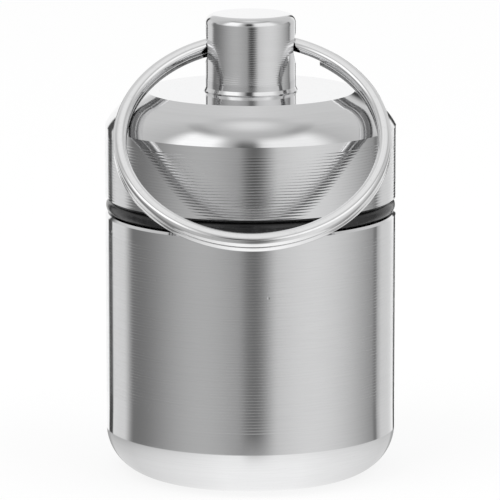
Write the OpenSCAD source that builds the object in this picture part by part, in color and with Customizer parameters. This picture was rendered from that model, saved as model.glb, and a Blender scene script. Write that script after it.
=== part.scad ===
// Screw-top pocket case on a split key ring, turned from round bar.
// The origin is the centre of the base, +Z runs up the case and -Y is its front.

/* [Case] */
// Outside diameter of the cup and the cap
case_d = 25.4; // [24:0.2:30]
// Height of the cup from its base to its rim
cup_h = 23.1; // [16:0.1:60]
// Radius of the round between the base and the wall
base_round = 4.05; // [1:0.05:6]
// Thickness of the floor inside the cup
floor_t = 2.2; // [1.2:0.1:5]
// Radius of the round between the floor and the bore
floor_round = 2.5; // [0.5:0.1:5]
// Width of the broken edge round each rim
rim_chamfer = 0.2; // [0.05:0.05:0.4]

/* [Neck and thread] */
// Height of the threaded neck above the rim of the cup
neck_h = 6.6; // [5:0.1:12]
// Wall of the neck, from the bore to the root of its thread
neck_wall = 1.3; // [0.8:0.05:3]
// Rise of the thread in one turn
thread_pitch = 1.25; // [1.1:0.05:2]
// Depth of the thread from root to crest
thread_depth = 0.45; // [0.2:0.05:0.6]
// Width of a thread ridge at its crest
crest_w = 0.3; // [0.15:0.05:0.35]
// Width of a thread ridge at its root
root_w = 0.75; // [0.5:0.05:0.8]
// Radial clearance between the two threads
thread_clear = 0.12; // [0.08:0.01:0.2]

/* [Cap] */
// Wall of the cap, from its side to the root of its thread
cap_wall = 1.35; // [1:0.05:3]
// Thickness of the crown over the hollow
crown_t = 2.9; // [2.4:0.1:6]
// Room between the neck and the crown
hollow_gap = 1.2; // [0.3:0.1:6]
// Width of the curved shoulder round the flat top
shoulder_w = 4.9; // [3:0.1:6]
// Angle from the wall to the start of the shoulder's curve
shoulder_edge = 27; // [0:1:50]
// Radius of the round inside the crown
hollow_round = 1.5; // [0.3:0.1:2]

/* [Seal] */
// Thickness of the rubber seal, squeezed between the two rims
seal_t = 1.2; // [0.8:0.05:1.6]
// How far the seal lies inside the wall of the case
seal_inset = 0.05; // [0:0.05:0.5]
// Clearance between the seal and the metal round it
seal_clear = 0.02; // [0.01:0.01:0.05]

/* [Post] */
// Diameter of the post on the crown
post_d = 7.9; // [6:0.1:11]
// Height of the post above the crown
post_h = 6.7; // [6.2:0.1:10]
// Radius of the round at the top of the post
post_round = 0.8; // [0.2:0.05:1]
// Radius of the fillet at the foot of the post
foot_round = 0.3; // [0.1:0.05:0.5]
// Thickness of the thin edge under the fillet
foot_edge = 0.05; // [0.03:0.01:0.1]
// Height of the cross hole above the crown
hole_up = 3.7; // [3.4:0.05:4.4]
// Width of the flare at each mouth of the cross hole
hole_flare = 0.1; // [0.05:0.05:0.4]
// Diameter of the spigot that holds the post in the crown
spigot_d = 3.6; // [2.5:0.1:5]
// Metal left in the crown under the spigot
spigot_floor = 0.9; // [0.5:0.1:1.4]
// Radial clearance round the spigot, filled by its adhesive
spigot_clear = 0.02; // [0.01:0.01:0.1]

/* [Key ring] */
// Outside diameter of the split ring
ring_d = 23.8; // [22:0.1:32]
// Width of the wire across the ring
wire_w = 1.14; // [0.9:0.02:1.4]
// Thickness of the wire along the axis of the ring
wire_t = 0.72; // [0.62:0.02:0.8]
// Radius on the outer edges of the two coils, which tumbling has worn round
wire_round = 0.38; // [0.1:0.02:0.4]
// Radius on the edges where the two coils meet
inner_round = 0.1; // [0.04:0.02:0.16]
// Gap between the two coils
coil_gap = 0.06; // [0.04:0.01:0.2]
// Least clearance between the ring's coils and the cross hole
ring_clear = 0.07; // [0.05:0.01:0.2]
// How far the leaning ring rides above the middle of the hole
ring_rise = 0.22; // [0:0.01:0.24]
// How far the ring has slid sideways along the hole
ring_slide = 0.15; // [0:0.05:0.2]
// Gap left between the hanging ring and the shoulder it leans on
lean_gap = 0.03; // [0.03:0.01:0.2]
// Angle from the post to the free end of the lower coil
lower_end = 33; // [26:1:60]
// Angle from the middle of the post to each end of the step between the coils
step_end = 14; // [10:1:16]

/* [Hidden] */

$fn = 96;
turned_fn = 128;
// Overrun of a cut past the face it leaves
cut = 0.5;

case_r = case_d / 2;
cap_bore_r = case_r - cap_wall;
neck_crest_r = cap_bore_r - thread_clear;
neck_r = neck_crest_r - thread_depth;
cap_crest_r = neck_r + thread_clear;
bore_r = neck_r - neck_wall;

neck_z = cup_h + neck_h;
cap_z = cup_h + seal_t + 2 * seal_clear;
hollow_z = neck_z + hollow_gap;
crown_z = hollow_z + crown_t;

flat_r = case_r - shoulder_w;
shoulder_round = shoulder_w / cos(shoulder_edge);
shoulder_z = crown_z - shoulder_round;
crease_z = shoulder_z + shoulder_round * sin(shoulder_edge);

// The two ridges share a lead and lie half a pitch apart.
ridge_steps = 60;
ridge_sink = 0.12;
ridge_inset = 0.35;
fade_sweep = 50;
fade_end = 0.12;
cap_ridge_z = cap_z + ridge_inset + root_w / 2;
cap_ridge_turns = (neck_z - root_w / 2 - cap_ridge_z) / thread_pitch;
neck_ridge_z = cap_ridge_z + thread_pitch / 2;
neck_ridge_turns = (neck_z - ridge_inset - root_w / 2 - neck_ridge_z) / thread_pitch;

post_r = post_d / 2;
hole_z = crown_z + hole_up;
spigot_l = crown_t - spigot_floor;

ring_r = ring_d / 2;
loop_r = ring_r - wire_w;
coils_t = 2 * wire_t + coil_gap;
ring_z = hole_z + ring_rise;
// A straight hole takes the curved coils at every lean: they reach from the
// loop's edge at the mouths of the hole to the ring's outer edge at its middle.
mouth_reach = sqrt(pow(loop_r, 2) - pow(post_r + ring_slide, 2));
coils_reach = wire_round + norm([(ring_r - mouth_reach) / 2 - wire_round, coils_t / 2 - wire_round]);
hole_r = coils_reach + ring_rise + ring_clear;
ring_reach = (ring_r + mouth_reach) / 2;

// Turned solids are profiles spun about the axis of the case.
module turned() {
    rotate_extrude($fn = turned_fn) children();
}

// What a round of radius r, centred on [0, 0], leaves outside it in its upper right corner.
module outer_corner(r) {
    difference() {
        square(r + cut);
        circle(r = r);
    }
}

// What a bevel of width w takes off the upper right corner that stands at [0, 0].
module bevelled_corner(w) {
    polygon([[-w, 0], [-w, cut], [cut, cut], [cut, -w], [0, -w]]);
}

// Closed skin over rings of points that run anticlockwise about the way they go.
module skin(rings) {
    n = len(rings[0]);
    last = len(rings) - 1;
    start = [[for (j = [0 : n - 1]) j]];
    sides = [for (i = [0 : last - 1], j = [0 : n - 1])
        let (a = i * n + j, b = i * n + (j + 1) % n)
        each [[a, a + n, b + n], [a, b + n, b]]];
    end = [[for (j = [n - 1 : -1 : 0]) last * n + j]];
    polyhedron(points = [for (ring = rings) each ring], faces = concat(start, sides, end));
}

// Helical ridge from its root radius to its crest radius, fading away at both ends.
function ridge_fade(a, sweep) = min(1, fade_end + min(a, sweep - a) / fade_sweep);
module thread_ridge(root, crest, z, turns) {
    side = sign(crest - root);
    sweep = turns * 360;
    steps = ceil(turns * ridge_steps);
    skin([for (i = [0 : steps])
        let (a = sweep * i / steps,
             h = z + thread_pitch * a / 360,
             fade = ridge_fade(a, sweep),
             foot = root - side * ridge_sink,
             tip = root + (crest - root) * fade,
             foot_half = side * root_w / 2,
             tip_half = side * (root_w + (crest_w - root_w) * fade) / 2)
        [for (p = [[foot, foot_half], [tip, tip_half], [tip, -tip_half], [foot, -foot_half]])
            [p[0] * cos(a), p[0] * sin(a), h + p[1]]]]);
}

// Deep cup with a round foot and a neck for the cap's thread.
module cup_profile() {
    difference() {
        union() {
            square([case_r, cup_h]);
            square([neck_r, neck_z]);
        }
        translate([case_r - base_round, base_round]) mirror([0, 1]) outer_corner(base_round);
        translate([0, floor_t]) difference() {
            square([bore_r, neck_z]);
            translate([bore_r - floor_round, floor_round]) mirror([0, 1]) outer_corner(floor_round);
        }
        translate([case_r, cup_h]) bevelled_corner(rim_chamfer);
        translate([neck_r, neck_z]) bevelled_corner(rim_chamfer);
    }
}

module cup() {
    color("silver") {
        turned() cup_profile();
        thread_ridge(neck_r, neck_crest_r, neck_ridge_z, neck_ridge_turns);
    }
}

// Rubber ring squeezed flat between the rim of the cup and the rim of the cap.
module seal_ring() {
    half = seal_t / 2;
    inner = neck_r + seal_clear + half;
    outer = case_r - seal_inset - half;
    color("dimgray") translate([0, 0, cup_h + seal_clear + half]) turned() {
        translate([inner, -half]) square([outer - inner, seal_t]);
        translate([inner, 0]) circle(r = half);
        translate([outer, 0]) circle(r = half);
    }
}

// Cap with a flat crown, a curved shoulder and a threaded hollow.
module cap_profile() {
    difference() {
        translate([0, cap_z]) square([case_r, crown_z - cap_z]);
        translate([flat_r, shoulder_z]) outer_corner(shoulder_round);
        difference() {
            translate([0, cap_z - cut]) square([cap_bore_r, hollow_z - cap_z + cut]);
            translate([cap_bore_r - hollow_round, hollow_z - hollow_round]) outer_corner(hollow_round);
        }
        translate([case_r, cap_z]) mirror([0, 1]) bevelled_corner(rim_chamfer);
        translate([cap_bore_r, cap_z]) rotate(180) bevelled_corner(rim_chamfer);
    }
}

module cap() {
    color("silver") {
        difference() {
            turned() cap_profile();
            translate([0, 0, crown_z - spigot_l - spigot_clear])
                cylinder(r = spigot_d / 2 + spigot_clear, h = spigot_l + cut);
        }
        thread_ridge(cap_bore_r, cap_crest_r, cap_ridge_z, cap_ridge_turns);
    }
}

// Post with a spigot in the crown and a flared cross hole for the ring.
module post_profile() {
    translate([0, -spigot_l]) square([spigot_d / 2, spigot_l + cut]);
    difference() {
        square([post_r, post_h]);
        translate([post_r - post_round, post_h - post_round]) outer_corner(post_round);
    }
    difference() {
        square([post_r + foot_round, foot_round + foot_edge]);
        translate([post_r + foot_round, foot_round + foot_edge]) circle(r = foot_round);
    }
}

module cross_hole() {
    flare_l = hole_flare + cut;
    rotate([0, 90, 0]) {
        cylinder(r = hole_r, h = post_d + 2 * cut, center = true);
        for (side = [0, 1]) mirror([0, 0, side])
            translate([0, 0, post_r - hole_flare])
                cylinder(r1 = hole_r, r2 = hole_r + flare_l, h = flare_l);
    }
}

module ring_post() {
    color("gainsboro") translate([0, 0, crown_z]) difference() {
        turned() post_profile();
        translate([0, 0, hole_up]) cross_hole();
    }
}

// Place of a point on the ring that leans forward from straight down: its
// angle round the ring from the post, its radius, and its height off the
// middle plane of the two coils.
function ring_point(lean, around, radius, height) =
    let (down = ring_reach - radius * cos(around))
    [ring_slide + radius * sin(around),
     -down * sin(lean) - height * cos(lean),
     ring_z - down * cos(lean) + height * sin(lean)];

// Distance of a point from the outside of the cap.
function cap_gap(r, z) =
    r <= flat_r ? z - crown_z
    : atan2(z - shoulder_z, r - flat_r) >= shoulder_edge
        ? norm([r - flat_r, z - shoulder_z]) - shoulder_round
    : z > crease_z ? norm([r - case_r, z - crease_z])
    : r - case_r;

// The ring hangs at the least lean at which the edges of its lower coil
// clear the cap.
lean_from = 30;
lean_step = 0.25;
edge_from = 30;
edge_step = 2;
function edge_gap(lean, around, radius) =
    let (p = ring_point(lean, around, radius, wire_round - coils_t / 2))
    cap_gap(norm([p[0], p[1]]), p[2]) - wire_round;
function lean_clear(lean) =
    min([for (around = [edge_from : edge_step : 360 - edge_from],
              radius = [loop_r + wire_round, ring_r - wire_round])
        edge_gap(lean, around, radius)]);
function resting_lean(lean) =
    lean >= 90 || lean_clear(lean) >= lean_gap ? lean : resting_lean(lean + lean_step);
ring_lean = resting_lean(lean_from);

// Flat wire that makes nearly two turns. The lower coil starts at its free end,
// and inside the hole the wire steps over to the upper coil, which ends there too.
wire_step = 5;
function smooth(x) = x * x * (3 - 2 * x);
// Share of the upper coil in the wire's place, from 0 to 1.
function raised(a) = smooth(max(0, min(1, (a - 360 + step_end) / (2 * step_end))));
// The edges of the wire's section are round on the outside of the two coils.
function wire_section(share) =
    let (above = inner_round + (wire_round - inner_round) * share,
         below = wire_round + (inner_round - wire_round) * share)
    [for (q = [0 : 3], t = [0, 45, 90])
        let (r = q < 2 ? above : below)
        [sign(cos(90 * q + 45)) * (wire_w / 2 - r) + r * cos(90 * q + t),
         sign(sin(90 * q + 45)) * (wire_t / 2 - r) + r * sin(90 * q + t)]];

module key_ring() {
    first = lower_end;
    sweep = 720 - step_end - lower_end;
    steps = ceil(sweep / wire_step);
    color("lightgray") skin([for (i = [0 : steps])
        let (a = first + sweep * i / steps,
             coil_height = (coils_t - wire_t) * (raised(a) - 0.5))
        [for (s = wire_section(raised(a)))
            ring_point(ring_lean, a, ring_r - wire_w / 2 + s[0], coil_height + s[1])]]);
}

echo(ring_lean = ring_lean, ring_z = ring_z, hole_d = 2 * hole_r, height = crown_z + post_h);
echo(neck_turns = neck_ridge_turns, cap_turns = cap_ridge_turns, bore_d = 2 * bore_r);

cup();
seal_ring();
cap();
ring_post();
key_ring();
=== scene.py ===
"""Earplug case keychain: a turned metal case with a rubber seal and a split key ring, dressed."""
import logging
import math
from dataclasses import dataclass
from enum import Enum
from typing import Any, Optional, Union

import bmesh
import bpy
from mathutils import Matrix, Vector


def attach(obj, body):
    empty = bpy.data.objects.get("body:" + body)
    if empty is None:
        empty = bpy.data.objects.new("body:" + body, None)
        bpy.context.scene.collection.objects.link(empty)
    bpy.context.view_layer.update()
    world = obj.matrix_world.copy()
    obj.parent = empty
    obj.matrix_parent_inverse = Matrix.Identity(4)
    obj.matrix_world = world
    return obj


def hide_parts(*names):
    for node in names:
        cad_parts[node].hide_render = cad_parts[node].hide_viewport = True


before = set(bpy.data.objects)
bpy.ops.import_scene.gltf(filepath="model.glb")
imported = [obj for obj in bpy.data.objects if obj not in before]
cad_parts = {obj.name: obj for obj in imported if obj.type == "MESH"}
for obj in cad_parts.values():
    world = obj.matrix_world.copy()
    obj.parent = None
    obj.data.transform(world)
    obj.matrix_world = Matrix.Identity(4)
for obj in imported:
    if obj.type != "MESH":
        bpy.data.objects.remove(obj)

LOG = logging.getLogger("earplug_case")
MM = 0.001
FULL_TURN = 2.0 * math.pi
RADIAN = 180.0 / math.pi
HALF_DEGREE = math.pi / 360.0
SMALL_GAP = 1e-7
NOISE_MIDDLE = 0.5
WHITE = (1.0, 1.0, 1.0, 1.0)


class Body(Enum):
    """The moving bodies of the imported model."""

    CASE = "case"
    SEAL = "seal"
    CAP = "cap"
    RING = "ring"


class Slot(Enum):
    """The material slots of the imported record."""

    CASE_METAL = "case_metal"
    POST_METAL = "post_metal"
    SEAL_RUBBER = "seal_rubber"
    RING_STEEL = "ring_steel"


# Shader maths


class Graph:
    """One node tree that is filled through a single method."""

    def __init__(self, tree: bpy.types.NodeTree) -> None:
        """Takes the node tree of a material or of the world and empties it."""
        self.tree = tree
        tree.nodes.clear()

    @staticmethod
    def of_material(name: str) -> tuple[bpy.types.Material, "Graph"]:
        """Makes a material with an empty graph.

        Args:
            name: The material's name.

        Returns:
            The material and its graph.
        """
        made = bpy.data.materials.new(name)
        made.use_nodes = True
        return made, Graph(made.node_tree)

    def node(
        self,
        kind: str,
        settings: Optional[dict[str, Any]] = None,
        inputs: Optional[dict[Union[str, int], Any]] = None,
        output: Union[str, int] = 0,
    ) -> "Value":
        """Adds a node, sets it up, then fills its sockets.

        Args:
            kind: The node's type.
            settings: The node's own settings.
            inputs: Constants or values to link, by socket name or number.
            output: The output socket that is handed back.

        Returns:
            The chosen output as a value.
        """
        made = self.tree.nodes.new(kind)
        for name, setting in (settings or {}).items():
            setattr(made, name, setting)
        for key, fed in (inputs or {}).items():
            self.feed(made.inputs[key], fed)
        return Value(self, made.outputs[output] if made.outputs else None)

    def feed(self, socket: bpy.types.NodeSocket, fed: Any) -> None:
        """Links a value to a socket, or sets a constant on it.

        Args:
            socket: The input socket.
            fed: The value or the constant.
        """
        if isinstance(fed, Value):
            self.tree.links.new(fed.socket, socket)
        else:
            socket.default_value = fed

    def joined(self, x: "Value", y: "Value", z: "Value") -> "Value":
        """Adds a vector made of three values."""
        return self.node("ShaderNodeCombineXYZ", inputs={0: x, 1: y, 2: z})

    def tinted(self, tone: "Value", green: float, blue: float) -> "Value":
        """Adds a near grey colour: the tone as its red, and shares of it as green and blue."""
        colour = {0: tone, 1: tone * green, 2: tone * blue}
        return self.node("ShaderNodeCombineColor", inputs=colour)

    def noise(self, vector: "Value", scale: float, detail: float, roughness: float) -> "Value":
        """Adds a noise texture that goes from nought to one."""
        fed = {"Vector": vector, "Scale": scale, "Detail": detail, "Roughness": roughness}
        return self.node("ShaderNodeTexNoise", {"noise_dimensions": "3D"}, fed)

    def bump(self, height: "Value", strength: float = 1.0, distance: float = 1.0) -> "Value":
        """Adds a bumped normal."""
        fed = {"Strength": strength, "Distance": distance, "Height": height}
        return self.node("ShaderNodeBump", inputs=fed)

    def surface(self, inputs: dict[str, Any]) -> None:
        """Adds the shader of a solid surface and the material's output."""
        shader = self.node("ShaderNodeBsdfPrincipled", inputs=inputs)
        self.node("ShaderNodeOutputMaterial", inputs={"Surface": shader})

    def seen_by(self) -> tuple["Value", "Value"]:
        """Adds the two tests of who looks.

        Returns:
            One for the camera, and one for polished or clear matter, else nought.
        """
        camera = self.node("ShaderNodeLightPath", output="Is Camera Ray")
        glossy = self.node("ShaderNodeLightPath", output="Is Glossy Ray")
        through = self.node("ShaderNodeLightPath", output="Is Transmission Ray")
        return camera, glossy.math("MAXIMUM", through)


class Value:
    """A socket that takes part in Python expressions."""

    def __init__(self, graph: Graph, socket: bpy.types.NodeSocket) -> None:
        """Keeps the socket and the graph that it belongs to."""
        self.graph = graph
        self.socket = socket

    def math(self, operation: str, *others: Any) -> "Value":
        """Adds a Math node that starts with this value."""
        operands = dict(enumerate((self, *others)))
        return self.graph.node("ShaderNodeMath", {"operation": operation}, operands)

    def swapped(self, operation: str, first: float) -> "Value":
        """Adds a Math node that starts with a plain number."""
        return self.graph.node("ShaderNodeMath", {"operation": operation}, {0: first, 1: self})

    def __add__(self, other: Any) -> "Value":
        """Sum."""
        return self.math("ADD", other)

    __radd__ = __add__

    def __sub__(self, other: Any) -> "Value":
        """Difference."""
        return self.math("SUBTRACT", other)

    def __rsub__(self, first: float) -> "Value":
        """Difference from a number."""
        return self.swapped("SUBTRACT", first)

    def __mul__(self, other: Any) -> "Value":
        """Product."""
        return self.math("MULTIPLY", other)

    __rmul__ = __mul__

    def __truediv__(self, other: Any) -> "Value":
        """Quotient."""
        return self.math("DIVIDE", other)

    def __rtruediv__(self, first: float) -> "Value":
        """Quotient of a number."""
        return self.swapped("DIVIDE", first)

    def __gt__(self, other: Any) -> "Value":
        """One where this value is the greater, else nought."""
        return self.math("GREATER_THAN", other)

    def __abs__(self) -> "Value":
        """Size without its sign."""
        return self.math("ABSOLUTE")

    def mapped(
        self, settings: dict[str, Any], low: float, high: float, start: float, end: float
    ) -> "Value":
        """Adds a Map Range node, which goes from start to end between low and high."""
        fed = {"Value": self, "From Min": low, "From Max": high, "To Min": start, "To Max": end}
        return self.graph.node("ShaderNodeMapRange", settings, fed, "Result")

    def step(self, low: float, high: float, start: float = 0.0, end: float = 1.0) -> "Value":
        """Smooth step from start to end while this value goes from low to high."""
        return self.mapped({"interpolation_type": "SMOOTHSTEP"}, low, high, start, end)

    def ramp(self, low: float, high: float, start: float = 0.0, end: float = 1.0) -> "Value":
        """Straight, clamped ramp from start to end while this value goes from low to high."""
        return self.mapped({"clamp": True}, low, high, start, end)

    def covered(self, level: Any, mask: Any) -> "Value":
        """This value with a level laid over it where the mask is one."""
        return self * (1.0 - mask) + mask * level


@dataclass(frozen=True)
class Fade:
    """A change from one level to another while a value goes from low to high."""

    low: float
    high: float
    start: float = 0.0
    end: float = 1.0

    def smooth(self, over: Value) -> Value:
        """The level as a smooth step over a value."""
        return over.step(self.low, self.high, self.start, self.end)

    def straight(self, over: Value) -> Value:
        """The level as a straight, clamped ramp over a value."""
        return over.ramp(self.low, self.high, self.start, self.end)


@dataclass(frozen=True)
class AxisCoordinates:
    """Object coordinates split into the ones that turned metal needs."""

    vector: Value
    x: Value
    y: Value
    z: Value
    radius: Value

    @staticmethod
    def read(graph: Graph, source: str = "Object") -> "AxisCoordinates":
        """Reads the coordinates.

        Args:
            graph: The graph to add the nodes to.
            source: The output of the Texture Coordinate node.

        Returns:
            The vector, its parts, and the distance from the case's axis.
        """
        vector = graph.node("ShaderNodeTexCoord", output=source)
        x, y, z = (
            graph.node("ShaderNodeSeparateXYZ", inputs={0: vector}, output=part)
            for part in range(3)
        )
        return AxisCoordinates(vector, x, y, z, (x * x + y * y).math("SQRT"))

    def angle(self) -> Value:
        """Angle round the axis from the side of the camera, in degrees, to the right."""
        return self.x.math("ARCTAN2", self.y * -1.0) * RADIAN


# Finishes


@dataclass(frozen=True)
class TurnedMetal:
    """Bright turned metal: regular grooves, fine lines, faint smears and small dents."""

    name: str
    tone: float = 0.86
    tone_spread: float = 0.012
    tint: tuple[float, float] = (1.002, 1.008)
    gloss: float = 0.05
    line_gloss: float = 0.03
    line_pitch: float = 0.12 * MM
    line_slant: float = 0.03
    in_line: Fade = Fade(0.44, 0.58)
    smear_scale: float = 0.35 / MM
    smear_gloss: float = 0.02
    in_smear: Fade = Fade(0.55, 0.75)
    groove_pitch: float = 0.26 * MM
    groove_depth: float = 0.0036 * MM
    groove_gloss: float = 0.2
    groove_swell: float = 0.15
    groove_waver: float = 0.07 * MM
    grooved_from: float = 5.8 * MM
    grooved_to: float = 22.0 * MM
    fade_in: float = 2.5 * MM
    fade_out: float = 0.5 * MM
    on_cusp: Fade = Fade(0.55, 1.0)
    dent_pitch: float = 2.6 * MM
    dent_depth: float = 0.008 * MM
    in_dent: Fade = Fade(0.02, 0.05, 1.0, 0.0)

    def grooves(self, height: Value) -> tuple[Value, Value]:
        """Cuts the grooves as a stair of thin cusps, each of which leans the same way.

        Args:
            height: Height along the axis, in which the grooves waver a little.

        Returns:
            The stair, in depths of a groove, and the cusps alone, from nought to one.
        """
        first = self.grooved_from / self.groove_pitch
        last = self.grooved_to / self.groove_pitch
        count = height.ramp(self.grooved_from, self.grooved_to, first, last)
        cusp = self.on_cusp.straight(count.math("FRACT"))
        swell = (count * FULL_TURN).math("SINE") * self.groove_swell
        return count.math("FLOOR") + cusp * cusp + swell, cusp

    def material(self) -> bpy.types.Material:
        """Builds the material.

        Returns:
            The finished material.
        """
        made, graph = Graph.of_material(self.name)
        at = AxisCoordinates.read(graph)
        per_line = 1.0 / self.line_pitch
        slant = (at.x + at.y) * (self.line_slant * per_line)
        turned = graph.joined(at.radius * per_line, at.z * per_line, slant)
        lines = self.in_line.smooth(graph.noise(turned, scale=1.0, detail=0.4, roughness=0.5))
        smears = graph.noise(at.vector, scale=self.smear_scale, detail=3.0, roughness=0.55)
        waver = smears - NOISE_MIDDLE
        dents = graph.node(
            "ShaderNodeTexVoronoi",
            {"feature": "F1"},
            {"Vector": at.vector, "Scale": 1.0 / self.dent_pitch, "Randomness": 1.0},
            "Distance",
        )
        stair, cusp = self.grooves(at.z + waver * self.groove_waver)
        grooved = at.z.step(self.grooved_from, self.grooved_from + self.fade_in)
        grooved = grooved * at.z.step(self.grooved_to, self.grooved_to - self.fade_out)
        tone = self.tone + waver * (2.0 * self.tone_spread) - lines * self.tone_spread
        roughness = self.gloss + lines * self.line_gloss
        roughness = roughness + self.in_smear.smooth(smears) * self.smear_gloss
        roughness = roughness + cusp * grooved * self.groove_gloss
        relief = stair * self.groove_depth - self.in_dent.smooth(dents) * self.dent_depth
        graph.surface({
            "Base Color": graph.tinted(tone, *self.tint),
            "Metallic": 1.0,
            "Roughness": roughness,
            "Normal": graph.bump(relief),
        })
        return made


@dataclass(frozen=True)
class PlatedWire:
    """Plated spring wire: polished, rougher underneath and on the side facing in, with painted
    shade darkening those two sides, and a little darker than its own tone in the seam where the
    coils meet.
    """

    name: str
    ring: "SplitRing"
    tone: float = 0.97
    tint: tuple[float, float] = (1.0, 1.004)
    wear_shade: float = 0.03
    line_shade: float = 0.04
    # Painted shade: the tone of the underside and of the side facing in.
    under_painted_shade: float = 0.62
    inner_painted_shade: float = 0.38
    seam_tone: float = 0.93
    gloss: float = 0.05
    mark_gloss: float = 0.12
    dull_gloss: float = 0.08
    mark_pitch: float = 0.5 * MM
    mark_relief: float = 0.5
    rolled_pitch: float = 0.1 * MM
    rolled_slant: float = 0.02
    rolled_depth: float = 0.0045 * MM
    in_wear: Fade = Fade(0.5, 0.72)
    in_line: Fade = Fade(0.5, 0.7)
    in_seam: Fade = Fade(0.09 * MM, 0.03 * MM)
    below: Fade = Fade(-0.55, -0.95)
    not_above: Fade = Fade(0.5, 0.1)
    facing_in: Fade = Fade(0.16 * MM, 0.03 * MM)

    def on_ring(self, at: AxisCoordinates) -> tuple[Value, Value, Value]:
        """Turns coordinates of the case into those of the leaning ring.

        Args:
            at: Place in the frame of the case.

        Returns:
            Sideways and away from the post, both from the ring's centre, and along its axis.
        """
        ring = self.ring
        lean = math.radians(ring.lean)
        side = at.x - ring.ring_slide * MM
        fore = at.y * -1.0
        rise = at.z - ring.ring_z * MM
        away = fore * math.sin(lean) - rise * math.cos(lean) - ring.ring_reach * MM
        return side, away, fore * math.cos(lean) + rise * math.sin(lean)

    def material(self) -> bpy.types.Material:
        """Builds the material.

        Returns:
            The finished material.
        """
        ring = self.ring
        made, graph = Graph.of_material(self.name)
        at = AxisCoordinates.read(graph)
        side, away, height = self.on_ring(at)
        radius = (side * side + away * away).math("SQRT")
        marks = graph.noise(at.vector, scale=1.0 / self.mark_pitch, detail=4.0, roughness=0.65)
        per_line = 1.0 / self.rolled_pitch
        slant = (side + away) * (self.rolled_slant * per_line)
        along = graph.joined(radius * per_line, height * per_line, slant)
        rolled = graph.noise(along, scale=1.0, detail=1.0, roughness=0.5)
        worn = self.in_wear.smooth(marks)
        # Masks of the underside and of the side facing in. They set painted shade in the tone and
        # a duller roughness.
        share = height / (ring.coils_t / 2.0 * MM)
        under = self.below.smooth(share)
        inner = self.facing_in.smooth(radius - (ring.ring_r - ring.wire_w) * MM)
        inner = inner * self.not_above.smooth(share)
        tone = self.tone - worn * self.wear_shade - self.in_line.smooth(rolled) * self.line_shade
        # Painted shade: darker tone on the underside and on the side facing in, with the seam band
        # laid over it.
        tone = tone.covered(self.under_painted_shade, under).covered(self.inner_painted_shade, inner)
        tone = tone.covered(self.seam_tone, self.in_seam.smooth(abs(height)))
        dull = under.math("MAXIMUM", inner)
        graph.surface({
            "Base Color": graph.tinted(tone, *self.tint),
            "Metallic": 1.0,
            "Roughness": self.gloss + worn * self.mark_gloss + dull * self.dull_gloss,
            "Normal": graph.bump(rolled + marks * self.mark_relief, distance=self.rolled_depth),
        })
        return made


@dataclass(frozen=True)
class MouldedRubber:
    """Dark moulded rubber: black towards both rims as painted shade, greyer in the middle of its
    round as a painted sheen, with a little dust there.
    """

    name: str
    middle_z: float
    half_t: float
    tone: float = 0.006
    tint: tuple[float, float] = (1.0, 1.04)
    # Painted sheen: tone added away from the rims, on the middle of the round.
    painted_sheen_tone: float = 0.008
    dust: float = 0.03
    gloss: float = 0.12
    patch_gloss: float = 0.1
    sheen: float = 0.45
    grain: float = 0.09 * MM
    grain_strength: float = 0.3
    grain_depth: float = 0.02 * MM
    patch_scale: float = 0.8 / MM
    in_dust: Fade = Fade(0.24, 0.42)
    in_patch: Fade = Fade(0.4, 0.7)
    away_from_rims: Fade = Fade(0.8, 0.25)

    def material(self) -> bpy.types.Material:
        """Builds the material.

        Returns:
            The finished material.
        """
        made, graph = Graph.of_material(self.name)
        at = AxisCoordinates.read(graph)
        grain = graph.noise(at.vector, scale=1.0 / self.grain, detail=3.0, roughness=0.6)
        patches = graph.noise(at.vector, scale=self.patch_scale, detail=4.0, roughness=0.6)
        dusty = self.in_dust.smooth(grain * patches)
        share = abs(at.z - self.middle_z * MM) / (self.half_t * MM)
        off_rims = self.away_from_rims.smooth(share)
        # Painted shade towards both rims and a painted sheen in the middle: the tone rises away
        # from the rims, and the dust shows only there.
        tone = self.tone + off_rims * self.painted_sheen_tone + dusty * off_rims * self.dust
        graph.surface({
            "Base Color": graph.tinted(tone, *self.tint),
            "Roughness": self.gloss + self.in_patch.smooth(patches) * self.patch_gloss,
            "Specular IOR Level": self.sheen,
            "Normal": graph.bump(grain, self.grain_strength, self.grain_depth),
        })
        return made


# Sizes


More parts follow.
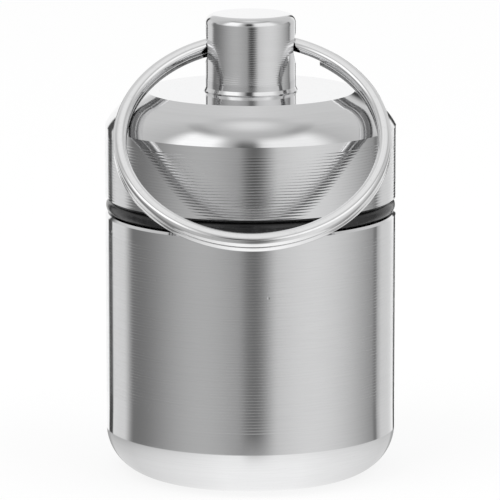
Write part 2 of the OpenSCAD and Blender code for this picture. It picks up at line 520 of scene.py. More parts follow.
@dataclass(frozen=True)
class CaseSizes:
    """Sizes of the case in millimetres, the solids' own but for the crown edge and post foot."""

    case_r: float = 12.7
    cup_h: float = 23.1
    base_round: float = 4.05
    floor_t: float = 2.2
    floor_round: float = 2.5
    rim_chamfer: float = 0.2
    neck_z: float = 29.7
    neck_r: float = 10.78
    neck_crest_r: float = 11.23
    bore_r: float = 9.48
    thread_pitch: float = 1.25
    crest_w: float = 0.3
    root_w: float = 0.75
    ridge_inset: float = 0.35
    cap_bore_r: float = 11.35
    cap_crest_r: float = 10.90
    cap_z: float = 24.34
    hollow_z: float = 30.9
    hollow_round: float = 1.5
    crown_z: float = 33.8
    flat_r: float = 7.8
    shoulder_w: float = 4.9
    shoulder_edge: float = 27.0
    crown_edge_r: float = 9.1
    seal_t: float = 1.2
    seal_inset: float = 0.05
    seal_clear: float = 0.02
    post_r: float = 3.95
    post_h: float = 6.7
    post_round: float = 0.8
    foot_w: float = 0.14
    foot_h: float = 0.29
    foot_edge: float = 0.07
    foot_inset: float = 0.05
    hole_up: float = 3.7
    hole_r: float = 1.3714
    hole_flare: float = 0.1
    spigot_r: float = 1.8
    spigot_l: float = 2.0
    spigot_clear: float = 0.02

    @property
    def shoulder_round(self) -> float:
        """Radius of the curve of the shoulder."""
        return self.shoulder_w / math.cos(math.radians(self.shoulder_edge))

    @property
    def shoulder_z(self) -> float:
        """Height of the centre of the shoulder's curve."""
        return self.crown_z - self.shoulder_round

    @property
    def crown_cone(self) -> float:
        """Slope, in degrees, of the short cone between the crown's edge and the shoulder."""
        past_flat = self.crown_edge_r - self.flat_r
        return math.degrees(math.asin(2.0 * past_flat / self.shoulder_round))

    @property
    def cap_ridge_z(self) -> float:
        """Height at which the cap's thread starts."""
        return self.cap_z + self.ridge_inset + self.root_w / 2.0

    @property
    def neck_ridge_z(self) -> float:
        """Height at which the neck's thread starts."""
        return self.cap_ridge_z + self.thread_pitch / 2.0

    @property
    def seal_middle(self) -> float:
        """Height of the middle of the seal."""
        return self.cup_h + self.seal_clear + self.seal_t / 2.0


# Mesh building


class LatheProfile:
    """A half section that grows from point to point and is then spun about the case's axis."""

    SPIN_STEPS = 288
    HOLD = 0.06
    HOLD_SHARE = 0.3
    ARC_STEP = 3.0
    ARC_LEAST = 4

    def __init__(self, radius: float, height: float) -> None:
        """Starts the section at a radius and a height, in millimetres."""
        self.mesh = bmesh.new()
        self.tip = self.mesh.verts.new(self.point(radius, height))

    @staticmethod
    def point(radius: float, height: float) -> Vector:
        """Point of the section in metres."""
        return Vector((radius, 0.0, height)) * MM

    def lines(self, *ends: tuple[float, float]) -> None:
        """Draws straight edges, each with a holding point close to both of its ends.

        Args:
            ends: Distance from the axis and height of each edge's end, in millimetres.
        """
        for end in ends:
            start = self.tip.co.copy()
            reach = self.point(*end) - start
            hold = min(self.HOLD_SHARE, self.HOLD * MM / reach.length)
            for share in (hold, 1.0 - hold, 1.0):
                grown = bmesh.ops.extrude_vert_indiv(self.mesh, verts=[self.tip])
                self.tip = grown["verts"][0]
                self.tip.co = start + reach * share

    def arc(self, centre_radius: float, centre_height: float, degrees: float) -> None:
        """Draws an arc about a centre.

        Args:
            centre_radius: Distance of the centre from the axis, in millimetres.
            centre_height: Height of the centre, in millimetres.
            degrees: Swept angle, positive from outward towards upward.
        """
        swept = bmesh.ops.spin(
            self.mesh,
            geom=[self.tip],
            cent=self.point(centre_radius, centre_height),
            axis=(0.0, -1.0, 0.0),
            angle=math.radians(degrees),
            steps=max(self.ARC_LEAST, round(abs(degrees) / self.ARC_STEP)),
            use_merge=False,
            use_normal_flip=False,
            use_duplicate=False,
        )
        last = swept["geom_last"]
        self.tip = next(part for part in last if isinstance(part, bmesh.types.BMVert))

    def spun(self) -> bmesh.types.BMesh:
        """Spins the section once round.

        Returns:
            A closed mesh with its faces outward.
        """
        mesh = self.mesh
        bmesh.ops.remove_doubles(mesh, verts=mesh.verts, dist=SMALL_GAP)
        bmesh.ops.spin(
            mesh,
            geom=mesh.verts[:] + mesh.edges[:],
            cent=(0.0, 0.0, 0.0),
            axis=(0.0, 0.0, 1.0),
            angle=FULL_TURN,
            steps=self.SPIN_STEPS,
            use_merge=True,
            use_normal_flip=False,
            use_duplicate=False,
        )
        bmesh.ops.remove_doubles(mesh, verts=mesh.verts, dist=SMALL_GAP)
        bmesh.ops.recalc_face_normals(mesh, faces=mesh.faces)
        return mesh


class Sweep:
    """A closed section carried along a path, one extrusion a step."""

    def __init__(self, section: list[Vector]) -> None:
        """Starts with the section as one face.

        Args:
            section: The corners of the first section, in metres.
        """
        self.mesh = bmesh.new()
        self.ring = [self.mesh.verts.new(corner) for corner in section]
        self.mesh.faces.new(self.ring)

    def carry(self, section: list[Vector]) -> None:
        """Extrudes the last section and moves its corners to the next one.

        Args:
            section: The corners of the next section, in metres.
        """
        sides = zip(self.ring, self.ring[1:] + self.ring[:1])
        edges = [self.mesh.edges.get(side) for side in sides]
        grown = bmesh.ops.extrude_edge_only(self.mesh, edges=edges)["geom"]
        fresh = {part for part in grown if isinstance(part, bmesh.types.BMVert)}
        follow = []
        for corner in self.ring:
            ends = (edge.other_vert(corner) for edge in corner.link_edges)
            follow.append(next(end for end in ends if end in fresh))
        for corner, place in zip(follow, section):
            corner.co = place
        self.ring = follow

    def closed(self) -> bmesh.types.BMesh:
        """Closes the far end.

        Returns:
            A closed mesh with its faces outward.
        """
        self.mesh.faces.new(self.ring)
        bmesh.ops.recalc_face_normals(self.mesh, faces=self.mesh.faces)
        return self.mesh


@dataclass
class Piece:
    """One visible piece: its mesh, its finish and the solid that it stands for."""

    name: str
    body: Body
    slot: Slot
    stands_for: str
    material: bpy.types.Material
    sharp_angle: float = 24.0

    def build(self, *meshes: bmesh.types.BMesh) -> bpy.types.Object:
        """Makes the object from one or more closed meshes.

        Args:
            meshes: The closed meshes, in metres, in the frame of the solids.

        Returns:
            The object, riding on its body.
        """
        data = bpy.data.meshes.new(self.name)
        joined = bmesh.new()
        for mesh in meshes:
            mesh.to_mesh(data)
            joined.from_mesh(data)
            mesh.free()
        limit = math.radians(self.sharp_angle)
        for face in joined.faces:
            face.smooth = True
        for edge in joined.edges:
            edge.smooth = edge.calc_face_angle(0.0) < limit
        joined.to_mesh(data)
        joined.free()
        data.materials.append(self.material)
        made = bpy.data.objects.new(self.name, data)
        bpy.context.scene.collection.objects.link(made)
        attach(made, self.body.value)
        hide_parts(self.stands_for)
        LOG.info("%s: %d faces, rides on %s", self.name, len(data.polygons), self.body.value)
        return made


@dataclass
class ThreadRidge:
    """Helical ridge between a root and a crest radius that fades away at both ends."""

    sizes: CaseSizes
    root: float
    crest: float
    start_z: float
    end_z: float
    sink: float = 0.12
    fade_sweep: float = 50.0
    fade_end: float = 0.12
    steps_per_turn: int = 120

    @property
    def turns(self) -> float:
        """Number of turns of the ridge."""
        return (self.end_z - self.start_z) / self.sizes.thread_pitch

    def section(self, degrees: float) -> list[Vector]:
        """Corners of the ridge's section at an angle.

        Args:
            degrees: Angle from the start of the ridge.

        Returns:
            Four corners in metres.
        """
        s = self.sizes
        side = math.copysign(1.0, self.crest - self.root)
        sweep = self.turns * 360.0
        fade = min(1.0, self.fade_end + min(degrees, sweep - degrees) / self.fade_sweep)
        foot = self.root - side * self.sink
        tip = self.root + (self.crest - self.root) * fade
        foot_half = s.root_w / 2.0
        tip_half = (s.root_w + (s.crest_w - s.root_w) * fade) / 2.0
        height = self.start_z + s.thread_pitch * degrees / 360.0
        turn = Matrix.Rotation(math.radians(degrees), 3, "Z")
        corners = ((foot, foot_half), (tip, tip_half), (tip, -tip_half), (foot, -foot_half))
        return [turn @ (Vector((r, 0.0, height + h)) * MM) for r, h in corners]

    def mesh(self) -> bmesh.types.BMesh:
        """Sweeps the section up the helix.

        Returns:
            The closed ridge.
        """
        steps = math.ceil(self.turns * self.steps_per_turn)
        swept = Sweep(self.section(0.0))
        for step in range(1, steps + 1):
            swept.carry(self.section(self.turns * 360.0 * step / steps))
        return swept.closed()


# Sub-assemblies


@dataclass
class Cup:
    """The deep cup with its round foot and threaded neck."""

    sizes: CaseSizes

    def shell(self) -> bmesh.types.BMesh:
        """Turns the cup.

        Returns:
            The closed shell.
        """
        s = self.sizes
        foot_r = s.case_r - s.base_round
        profile = LatheProfile(0.0, 0.0)
        profile.lines((foot_r, 0.0))
        profile.arc(foot_r, s.base_round, 90.0)
        profile.lines(
            (s.case_r, s.cup_h - s.rim_chamfer),
            (s.case_r - s.rim_chamfer, s.cup_h),
            (s.neck_r, s.cup_h),
            (s.neck_r, s.neck_z - s.rim_chamfer),
            (s.neck_r - s.rim_chamfer, s.neck_z),
            (s.bore_r, s.neck_z),
            (s.bore_r, s.floor_t + s.floor_round),
        )
        profile.arc(s.bore_r - s.floor_round, s.floor_t + s.floor_round, -90.0)
        profile.lines((0.0, s.floor_t))
        return profile.spun()

    def ridge(self) -> bmesh.types.BMesh:
        """Winds the neck's thread.

        Returns:
            The closed ridge.
        """
        s = self.sizes
        end_z = s.neck_z - s.ridge_inset - s.root_w / 2.0
        return ThreadRidge(s, s.neck_r, s.neck_crest_r, s.neck_ridge_z, end_z).mesh()

    def build(self, metal: bpy.types.Material) -> bpy.types.Object:
        """Builds the dressed cup."""
        piece = Piece("cup_turned", Body.CASE, Slot.CASE_METAL, "cup", metal)
        return piece.build(self.shell(), self.ridge())


@dataclass
class Seal:
    """The rubber ring squeezed between the two rims."""

    sizes: CaseSizes

    def build(self, rubber: bpy.types.Material) -> bpy.types.Object:
        """Builds the dressed seal.

        Args:
            rubber: Its material.

        Returns:
            The object, riding on its body.
        """
        s = self.sizes
        half = s.seal_t / 2.0
        inner = s.neck_r + s.seal_clear + half
        outer = s.case_r - s.seal_inset - half
        profile = LatheProfile(inner, s.seal_middle - half)
        profile.lines((outer, s.seal_middle - half))
        profile.arc(outer, s.seal_middle, 180.0)
        profile.lines((inner, s.seal_middle + half))
        profile.arc(inner, s.seal_middle, 180.0)
        piece = Piece("seal_rubber", Body.SEAL, Slot.SEAL_RUBBER, "seal_ring", rubber)
        return piece.build(profile.spun())


@dataclass
class Cap:
    """The cap with its flat crown, curved shoulder and threaded hollow."""

    sizes: CaseSizes

    def shell(self) -> bmesh.types.BMesh:
        """Turns the cap.

        Returns:
            The closed shell.
        """
        s = self.sizes
        seat_r = s.spigot_r + s.spigot_clear
        seat_z = s.crown_z - s.spigot_l - s.spigot_clear
        cone = math.radians(s.crown_cone)
        cone_r = s.flat_r + s.shoulder_round * math.sin(cone)
        cone_z = s.shoulder_z + s.shoulder_round * math.cos(cone)
        profile = LatheProfile(0.0, seat_z)
        profile.lines(
            (seat_r, seat_z),
            (seat_r, s.crown_z),
            (s.crown_edge_r, s.crown_z),
            (cone_r, cone_z),
        )
        profile.arc(s.flat_r, s.shoulder_z, s.shoulder_edge - 90.0 + s.crown_cone)
        profile.lines(
            (s.case_r, s.cap_z + s.rim_chamfer),
            (s.case_r - s.rim_chamfer, s.cap_z),
            (s.cap_bore_r + s.rim_chamfer, s.cap_z),
            (s.cap_bore_r, s.cap_z + s.rim_chamfer),
            (s.cap_bore_r, s.hollow_z - s.hollow_round),
        )
        profile.arc(s.cap_bore_r - s.hollow_round, s.hollow_z - s.hollow_round, 90.0)
        profile.lines((0.0, s.hollow_z))
        return profile.spun()

    def ridge(self) -> bmesh.types.BMesh:
        """Winds the thread inside the cap.

        Returns:
            The closed ridge.
        """
        s = self.sizes
        end_z = s.neck_z - s.root_w / 2.0
        return ThreadRidge(s, s.cap_bore_r, s.cap_crest_r, s.cap_ridge_z, end_z).mesh()

    def build(self, metal: bpy.types.Material) -> bpy.types.Object:
        """Builds the dressed cap."""
        piece = Piece("cap_turned", Body.CAP, Slot.CASE_METAL, "cap", metal)
        return piece.build(self.shell(), self.ridge())


@dataclass
class Post:
    """The post on the crown, with its spigot and its flared cross hole."""

    sizes: CaseSizes
    cutter_proud: float = 0.5

    def turned(self) -> bmesh.types.BMesh:
        """Turns the post without its hole.

        Returns:
            The closed solid.
        """
        s = self.sizes
        top = s.crown_z + s.post_h
        seam_r = s.post_r - s.foot_inset
        edge_z = s.crown_z + s.foot_edge
        profile = LatheProfile(0.0, s.crown_z - s.spigot_l)
        profile.lines(
            (s.spigot_r, s.crown_z - s.spigot_l),
            (s.spigot_r, s.crown_z),
            (seam_r, s.crown_z),
            (seam_r, edge_z),
            (s.post_r + s.foot_w, edge_z),
            (s.post_r, edge_z + s.foot_h),
            (s.post_r, top - s.post_round),
        )
        profile.arc(s.post_r - s.post_round, top - s.post_round, 90.0)
        profile.lines((0.0, top))
        return profile.spun()

    def hole_cutter(self) -> bmesh.types.BMesh:
        """Makes the cutter of the cross hole, flared at both mouths.

        Returns:
            The closed cutter, lying along X.
        """
        s = self.sizes
        end = s.post_r + self.cutter_proud
        mouth_r = s.hole_r + s.hole_flare + self.cutter_proud
        profile = LatheProfile(0.0, -end)
        profile.lines(
            (mouth_r, -end),
            (s.hole_r, -s.post_r + s.hole_flare),
            (s.hole_r, s.post_r - s.hole_flare),
            (mouth_r, end),
            (0.0, end),
        )
        mesh = profile.spun()
        lying = Matrix.Rotation(math.pi / 2.0, 3, "Y")
        bmesh.ops.rotate(mesh, verts=mesh.verts, cent=(0.0, 0.0, 0.0), matrix=lying)
        height = (s.crown_z + s.hole_up) * MM
        bmesh.ops.translate(mesh, verts=mesh.verts, vec=(0.0, 0.0, height))
        return mesh

    def drilled(self) -> bmesh.types.BMesh:
        """Drills the post.

        Returns:
            The closed solid with its hole.
        """
        pair = []
        for name, mesh in (("post_blank", self.turned()), ("post_cutter", self.hole_cutter())):
            data = bpy.data.meshes.new(name)
            mesh.to_mesh(data)
            mesh.free()
            solid = bpy.data.objects.new(name, data)
            bpy.context.scene.collection.objects.link(solid)
            pair.append(solid)
        blank, cutter = pair
        cut = blank.modifiers.new("drill", "BOOLEAN")
        cut.operation = "DIFFERENCE"
        cut.solver = "EXACT"
        cut.object = cutter
        evaluated = blank.evaluated_get(bpy.context.evaluated_depsgraph_get())
        result = bmesh.new()
        result.from_mesh(evaluated.to_mesh())
        for solid in pair:
            data = solid.data
            bpy.data.objects.remove(solid)
            bpy.data.meshes.remove(data)
        bmesh.ops.remove_doubles(result, verts=result.verts, dist=SMALL_GAP)
        return result

    def build(self, metal: bpy.types.Material) -> bpy.types.Object:
        """Builds the dressed post."""
        piece = Piece("post_turned", Body.CAP, Slot.POST_METAL, "ring_post", metal)
        return piece.build(self.drilled())


@dataclass
class SplitRing:
    """The split key ring: a flat wire wound nearly twice round.

    Its outer edges are worn round, and the edges where its coils meet are sharper.
    """

    ring_r: float = 11.9
    wire_w: float = 1.14
    wire_t: float = 0.72
    wire_round: float = 0.38
    inner_round: float = 0.06
    coils_t: float = 1.50
    ring_z: float = 37.72
    ring_slide: float = 0.15
    ring_reach: float = 10.924
    lean: float = 50.25
    lower_end: float = 33.0
    step_end: float = 14.0
    path_step: float = 2.0
    corner_steps: int = 6
    sharp_angle: float = 40.0

    def raised(self, degrees: float) -> float:
        """Share of the upper coil in the wire's place.

        Args:
            degrees: Angle round the ring from the post.

        Returns:
            The share, from nought to one.
        """
        share = (degrees - 360.0 + self.step_end) / (2.0 * self.step_end)
        share = max(0.0, min(1.0, share))
        return share * share * (3.0 - 2.0 * share)

    def place(self, degrees: float, radius: float, height: float) -> Vector:
        """Place of a point on the ring, which leans forward from straight down.

        Args:
            degrees: Angle round the ring from the post.
            radius: Distance from the ring's centre, in millimetres.
            height: Height off the middle plane of the coils, in millimetres.

        Returns:
            The point in metres.
        """
        around = math.radians(degrees)
        lean = math.radians(self.lean)
        down = self.ring_reach - radius * math.cos(around)
        return MM * Vector((
            self.ring_slide + radius * math.sin(around),
            -down * math.sin(lean) - height * math.cos(lean),
            self.ring_z - down * math.cos(lean) + height * math.sin(lean),
        ))

    def wire_section(self, share: float) -> list[tuple[float, float]]:
        """Corners of the wire's section: across it and along the ring's axis.

        Args:
            share: Share of the upper coil, which decides the sides that are worn round.

        Returns:
            The corners in millimetres.
        """
        above = self.inner_round + (self.wire_round - self.inner_round) * share
        below = self.wire_round + (self.inner_round - self.wire_round) * share
        corners = []
        for quarter, bend in enumerate((above, above, below, below)):
            facing = math.radians(90.0 * quarter + 45.0)
            across = math.copysign(self.wire_w / 2.0 - bend, math.cos(facing))
            along = math.copysign(self.wire_t / 2.0 - bend, math.sin(facing))
            for corner in range(self.corner_steps + 1):
                turn = math.radians(90.0 * (quarter + corner / self.corner_steps))
                corners.append((across + bend * math.cos(turn), along + bend * math.sin(turn)))
        return corners

    def section_at(self, degrees: float) -> list[Vector]:
        """The wire's section in its place on the ring.

        Args:
            degrees: Angle round the ring from the post.

        Returns:
            The corners in metres.
        """
        share = self.raised(degrees)
        height = (self.coils_t - self.wire_t) * (share - 0.5)
        middle = self.ring_r - self.wire_w / 2.0
        section = self.wire_section(share)
        return [self.place(degrees, middle + across, height + along) for across, along in section]

    def build(self, steel: bpy.types.Material) -> bpy.types.Object:
        """Builds the dressed ring.

        Args:
            steel: Its material.

        Returns:
            The object, riding on its body.
        """
        sweep = 2.0 * 360.0 - self.step_end - self.lower_end
        steps = math.ceil(sweep / self.path_step)
        wire = Sweep(self.section_at(self.lower_end))
        for number in range(1, steps + 1):
            wire.carry(self.section_at(self.lower_end + sweep * number / steps))
        finish = (Slot.RING_STEEL, "key_ring", steel, self.sharp_angle)
        return Piece("split_ring_wire", Body.RING, *finish).build(wire.closed())


# Studio and camera


@dataclass(frozen=True)
class Glow:
    """A soft panel round the set: its angle from the camera and its brightness."""

    middle: float
    half_width: float
    level: float
    edge_level: float

    def brightness(self, angle: Value) -> Value:
        """Brightness of the panel.

        Args:
            angle: Angle from the camera, in degrees, to the right.

        Returns:
            The brightness at that angle.
        """
        share = abs(angle - self.middle).ramp(0.0, self.half_width, 0.0, math.pi)
        fall = share.math("COSINE") * 0.5 + 0.5
        return self.edge_level + fall * (self.level - self.edge_level)


@dataclass(frozen=True)
class Flag:
    """A dark card at the edge of the set, with a soft edge to the left and one to the right."""

    middle: float
    half_width: float
    level: float
    soft_left: float
    soft_right: float

    def mask(self, angle: Value) -> Value:
        """Shows where the card is.

        Args:
            angle: Angle from the camera, in degrees, to the right.

        Returns:
            One on the card, nought beside it.
        """
        offset = angle - self.middle
        left = offset.step(-self.half_width - self.soft_left, -self.half_width)
        return left * offset.step(self.half_width + self.soft_right, self.half_width)


@dataclass(frozen=True)
class SoftBox:
    """A soft box above the set: its angle from the camera, its height and its brightness."""

    middle: float
    half_width: float
    low: float
    low_fade: float
    high: float
    level: float
    high_fade: float = 7.0
    core: float = 0.35

    def light(self, angle: Value, rise: Value) -> Value:
        """Brightness that the soft box adds.

        Args:
            angle: Angle from the camera, in degrees, to the right.
            rise: Angle above the horizon, in degrees.

        Returns:
            The brightness in that direction.
        """
        across = abs(angle - self.middle).step(self.half_width, self.half_width * self.core)
        up = rise.ramp(self.low - self.low_fade, self.low + self.low_fade)
        up = up * rise.step(self.high + self.high_fade, self.high - self.high_fade)
        return across * up * self.level


@dataclass(frozen=True)
class Surroundings:
    """What polished metal sees: soft panels beside the camera, soft boxes and dark cards.

    Its angles are in degrees, from the camera to the right or above the horizon.
    """

    left_panel: Glow = Glow(-39.0, 66.0, 0.458, 0.18)
    right_panel: Glow = Glow(50.0, 95.0, 0.72, 0.17)
    left_end: Fade = Fade(-120.8, -105.8)
    right_end: Fade = Fade(129.0, 114.0)
    backdrop: Fade = Fade(112.0, 147.0, 0.67, 0.75)
    back_wall: Fade = Fade(146.0, 160.0, 0.0, 0.25)
    shade_from: Fade = Fade(100.0, 110.0)
    shade_to: Fade = Fade(150.0, 140.0, 0.0, 0.05)
    lens_gap: Flag = Flag(2.5, 0.3, 0.165, 12.5, 20.0)
    left_card: Flag = Flag(-148.8, 4.4, 0.07, 2.5, 3.0)
    right_card: Flag = Flag(164.8, 3.8, 0.05, 3.0, 2.0)
    right_slit: Flag = Flag(117.5, 0.5, 0.2, 4.5, 3.0)
    walls: Fade = Fade(80.0, 125.0, 0.5, 0.63)
    wall_backs: Fade = Fade(150.0, 180.0, 0.0, 0.06)
    frame_foot: Fade = Fade(59.0, 63.5)
    frame_top: Fade = Fade(73.0, 66.0)
    frame_front: Fade = Fade(40.0, 70.0)
    frame_back: Fade = Fade(125.0, 95.0, 0.0, 0.1)
    left_box: SoftBox = SoftBox(-53.0, 34.0, 16.0, 16.0, 59.5, 0.62)
    right_box: SoftBox = SoftBox(42.0, 48.0, 10.0, 14.0, 59.0, 0.46)
    ceiling: Fade = Fade(66.0, 78.0)
    ceiling_level: float = 0.56
    zenith: Fade = Fade(72.0, 88.0, 0.0, 0.22)
    above_all: Fade = Fade(14.0, 24.0)
    above_front: Fade = Fade(11.0, 18.0)
    front: Fade = Fade(106.0, 96.0)
    high_gap: Flag = Flag(-3.0, 4.0, 0.07, 16.0, 13.0)
    high_gap_top: Fade = Fade(66.0, 42.0)
    high_gap_foot: Fade = Fade(17.0, 26.0)

    def around(self, angle: Value) -> Value:
        """Brightness round the set, near the horizon.

        Args:
            angle: Angle from the camera, in degrees, to the right.

        Returns:
            The brightness, one where the set is white.
        """
        on_right = angle > 0.0
        lit = self.backdrop.straight(abs(angle)) + self.back_wall.smooth(abs(angle))
        lit = lit - self.shade_from.smooth(angle) * self.shade_to.smooth(angle)
        left = self.left_end.smooth(angle) * (1.0 - on_right)
        right = self.right_end.smooth(angle) * on_right
        lit = lit.covered(self.left_panel.brightness(angle), left)
        lit = lit.covered(self.right_panel.brightness(angle), right)
        for card in (self.lens_gap, self.left_card, self.right_card, self.right_slit):
            lit = lit.covered(card.level, card.mask(angle))
        return lit

    def above(self, angle: Value, rise: Value) -> Value:
        """Brightness above the set.

        Args:
            angle: Angle from the camera, in degrees, to the right.
            rise: Angle above the horizon, in degrees.

        Returns:
            The brightness, one where the set is white.
        """
        side = abs(angle)
        frames = self.frame_foot.smooth(rise) * self.frame_top.smooth(rise)
        frames = frames * self.frame_front.smooth(side) * self.frame_back.smooth(side)
        lit = self.walls.straight(side) + self.wall_backs.straight(side) - frames
        lit = lit + self.left_box.light(angle, rise) + self.right_box.light(angle, rise)
        lit = lit.covered(self.ceiling_level, self.ceiling.smooth(rise))
        return lit + self.zenith.smooth(rise)

    def seen(self, angle: Value, rise: Value) -> Value:
        """Brightness in any direction.

        Args:
            angle: Angle from the camera, in degrees, to the right.
            rise: Angle above the horizon, in degrees.

        Returns:
            The brightness, one where the set is white.
        """
        front = self.front.smooth(abs(angle)) * self.above_front.smooth(rise)
        overhead = self.above_all.smooth(rise).math("MAXIMUM", front)
        lit = self.around(angle).covered(self.above(angle, rise), overhead)
        gap = self.high_gap.mask(angle) * self.high_gap_top.smooth(rise)
        return lit.covered(self.high_gap.level, gap * self.high_gap_foot.smooth(rise))


@dataclass(frozen=True)
class PaleFloor:
    """The pale floor: matt for the shadow, white for the camera, the room for polished metal.

    Close to the case it shows white, darker outward and towards the back corners.
    """

    room: Surroundings
    case_r: float = 12.7 * MM
    floor_r: float = 3.0
    segments: int = 96
    tone: float = 0.96
    camera_white: float = 0.8
    mirror_rounds: int = 2
    foot_reach: Fade = Fade(1.0 * MM, 15.2 * MM)
    foot_edge: Fade = Fade(16.0 * MM, 14.8 * MM)
    close_level: float = 0.97
    close_left: Fade = Fade(-20.0, -110.0, 0.0, 0.27)
    close_right: Fade = Fade(40.0, 130.0, 0.0, 0.27)
    outer_level: float = 0.88
    outer_left: Fade = Fade(-20.0, -110.0, 0.0, 0.41)
    outer_right: Fade = Fade(40.0, 130.0, 0.0, 0.28)
    outer_gap: float = 0.28
    back: Fade = Fade(148.0, 158.0)
    back_level: float = 0.4
    far_gap: Fade = Fade(175.0 * MM, 250.0 * MM, 0.0, 0.55)
    near_gap: Fade = Fade(38.0 * MM, 24.0 * MM, 0.0, 0.3)

    def mirrored(self, at: AxisCoordinates) -> tuple[Value, Value]:
        """Finds how the round case mirrors a place on the floor.

        Args:
            at: Place on the floor, measured from the case's axis.

        Returns:
            The angle of the mirrored ray, in degrees, and its reach over the floor.
        """
        nearness = self.case_r * RADIAN / at.radius
        angle = at.angle()
        turned = angle
        for _ in range(self.mirror_rounds):
            turned = angle + (turned * HALF_DEGREE).math("SINE") * nearness
        half = turned * HALF_DEGREE
        aside = half.math("SINE") * self.case_r
        reach = (at.radius * at.radius - aside * aside).math("SQRT")
        return turned, reach - half.math("COSINE") * self.case_r

    def foot(self, turned: Value, reach: Value, lens: Value) -> Value:
        """Brightness of the floor close to the case's foot.

        Args:
            turned: Angle of the mirrored ray, in degrees.
            reach: Reach of the mirrored ray over the floor.
            lens: One where the ray meets the gap round the lens.

        Returns:
            The brightness, one where the floor is white.
        """
        close = self.close_level - self.close_left.straight(turned)
        close = close - self.close_right.straight(turned)
        outer = self.outer_level - self.outer_left.straight(turned)
        outer = (outer - self.outer_right.straight(turned)) * (1.0 - lens * self.outer_gap)
        lit = close.covered(outer, self.foot_reach.straight(reach))
        return lit.covered(self.back_level, self.back.smooth(abs(turned)))

    def seen(self, at: AxisCoordinates) -> Value:
        """Brightness of the floor in the polished metal.

        Args:
            at: Place on the floor, measured from the case's axis.

        Returns:
            The brightness, one where the floor is white.
        """
        turned, reach = self.mirrored(at)
        lens = self.room.lens_gap.mask(turned)
        far = self.room.around(turned) * (1.0 - lens * self.far_gap.straight(at.radius))
        far = far + lens * self.near_gap.straight(at.radius)
        return far.covered(self.foot(turned, reach, lens), self.foot_edge.smooth(reach))

    def material(self) -> bpy.types.Material:
        """Builds the material.

        Returns:
            The finished material.
        """
        made, graph = Graph.of_material("pale_floor")
        seen = self.seen(AxisCoordinates.read(graph))
        camera, reflected = graph.seen_by()
        grey = (self.tone, self.tone, self.tone, 1.0)
        matt = graph.node("ShaderNodeBsdfDiffuse", inputs={"Color": grey})
        white = graph.node("ShaderNodeEmission", inputs={"Color": WHITE, "Strength": 1.0})
        image = graph.node("ShaderNodeEmission", inputs={"Color": WHITE, "Strength": seen})
        lifted = {0: camera * self.camera_white, 1: matt, 2: white}
        plain = graph.node("ShaderNodeMixShader", inputs=lifted)
        shader = graph.node("ShaderNodeMixShader", inputs={0: reflected, 1: plain, 2: image})
        graph.node("ShaderNodeOutputMaterial", inputs={"Surface": shader})
        return made

    def build(self) -> None:
        """Lays the round floor under the case."""
        mesh = bmesh.new()
        size = {"radius": self.floor_r, "segments": self.segments}
        bmesh.ops.create_circle(mesh, cap_ends=True, **size)
        data = bpy.data.meshes.new("floor")
        mesh.to_mesh(data)
        mesh.free()
        data.materials.append(self.material())
        floor = bpy.data.objects.new("floor", data)
        bpy.context.scene.collection.objects.link(floor)


@dataclass(frozen=True)
class SoftLamp:
    """A square lamp that points at the case and doesn't show in its polish.

    Its place and side are in metres, its power in watts.
    """

    name: str
    place: tuple[float, float, float]
    side: float
    power: float

    def build(self) -> None:
        """Hangs the lamp."""
        data = bpy.data.lights.new(self.name, "AREA")
        data.shape = "SQUARE"
        data.size = self.side
        data.energy = self.power
        lamp = bpy.data.objects.new(self.name, data)
        lamp.location = self.place
        lamp.rotation_euler = (-Vector(self.place)).to_track_quat("-Z", "Y").to_euler()
        lamp.visible_glossy = False
        bpy.context.scene.collection.objects.link(lamp)


@dataclass(frozen=True)
class Studio:
    """The white set: its world, its floor and its lamps."""

    room: Surroundings = Surroundings()
    plain_light: float = 0.8
    lamps: tuple[SoftLamp, ...] = (
        SoftLamp("key_lamp", (-0.35, -0.35, 0.6), 0.5, 1.6),
        SoftLamp("fill_lamp", (0.45, -0.25, 0.5), 0.6, 1.2),
    )

    def build_world(self) -> None:
        """Makes the world: plain light, the room for polished metal and white for the camera."""
        world = bpy.data.worlds.new("studio")
        world.use_nodes = True
        bpy.context.scene.world = world
        graph = Graph(world.node_tree)
        at = AxisCoordinates.read(graph, "Generated")
        seen = self.room.seen(at.angle(), at.z.math("ARCSINE") * RADIAN)
        camera, reflected = graph.seen_by()
        lit = (1.0 - reflected) * self.plain_light + reflected * seen
        fed = {"Color": WHITE, "Strength": lit.covered(1.0, camera)}
        light = graph.node("ShaderNodeBackground", inputs=fed)
        graph.node("ShaderNodeOutputWorld", inputs={"Surface": light})

    def build(self) -> None:
        """Builds the set."""
        self.build_world()
        PaleFloor(self.room).build()
        for lamp in self.lamps:
            lamp.build()
        LOG.info("studio: world, floor and %d lamps", len(self.lamps))


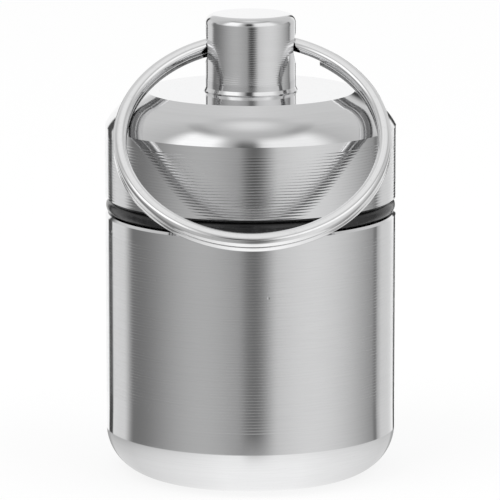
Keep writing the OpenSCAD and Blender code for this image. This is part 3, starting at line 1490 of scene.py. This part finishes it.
@dataclass
class PhotoCamera:
    """The camera of the photograph: its distance, its height and its lens."""

    distance: float = 400.0 * MM
    side_shift: float = -0.045 * MM
    elevation: float = 10.9
    aim_height: float = 19.56 * MM
    focal_px: float = 4558.0
    frame_px: float = 500.0
    sensor: float = 36.0
    clip_start: float = 0.01
    clip_end: float = 20.0

    def build(self) -> None:
        """Makes the camera and hands it to the scene."""
        data = bpy.data.cameras.new("photo_camera")
        data.sensor_width = self.sensor
        data.lens = self.focal_px / self.frame_px * self.sensor
        data.clip_start = self.clip_start
        data.clip_end = self.clip_end
        camera = bpy.data.objects.new("photo_camera", data)
        tilt = math.radians(self.elevation)
        aim = Vector((self.side_shift, 0.0, self.aim_height))
        camera.location = aim + Vector((0.0, -math.cos(tilt), math.sin(tilt))) * self.distance
        camera.rotation_euler = (math.pi / 2.0 - tilt, 0.0, 0.0)
        bpy.context.scene.collection.objects.link(camera)
        bpy.context.scene.camera = camera
        bpy.context.scene.view_settings.view_transform = "Standard"
        LOG.info("camera: %.0f mm lens at %.1f degrees", data.lens, self.elevation)


def plain(corners: tuple[Any, Any]) -> list[list[float]]:
    """A box's two corners as plain lists."""
    return [[float(number) for number in corner] for corner in corners]


def main() -> None:
    """Builds the scene in order."""
    logging.basicConfig(level=logging.INFO, format="%(name)s %(message)s")
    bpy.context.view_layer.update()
    sizes = CaseSizes()
    split_ring = SplitRing()
    PhotoCamera().build()
    Studio().build()
    cup_metal = TurnedMetal("turned_cup")
    cap_metal = TurnedMetal(
        "turned_cap",
        gloss=0.065,
        groove_pitch=0.25 * MM,
        groove_depth=0.0105 * MM,
        groove_swell=0.22,
        groove_gloss=0.13,
        grooved_from=24.0 * MM,
        grooved_to=30.0 * MM,
    )
    post_metal = TurnedMetal(
        "turned_post",
        groove_pitch=0.19 * MM,
        groove_gloss=0.12,
        groove_waver=0.5 * MM,
        grooved_from=34.6 * MM,
        grooved_to=39.6 * MM,
    )
    rubber = MouldedRubber("moulded_rubber", sizes.seal_middle, sizes.seal_t / 2.0)
    steel = PlatedWire("plated_wire", split_ring)
    Cup(sizes).build(cup_metal.material())
    Seal(sizes).build(rubber.material())
    Cap(sizes).build(cap_metal.material())
    Post(sizes).build(post_metal.material())
    split_ring.build(steel.material())


if __name__ == "__main__":
    main()
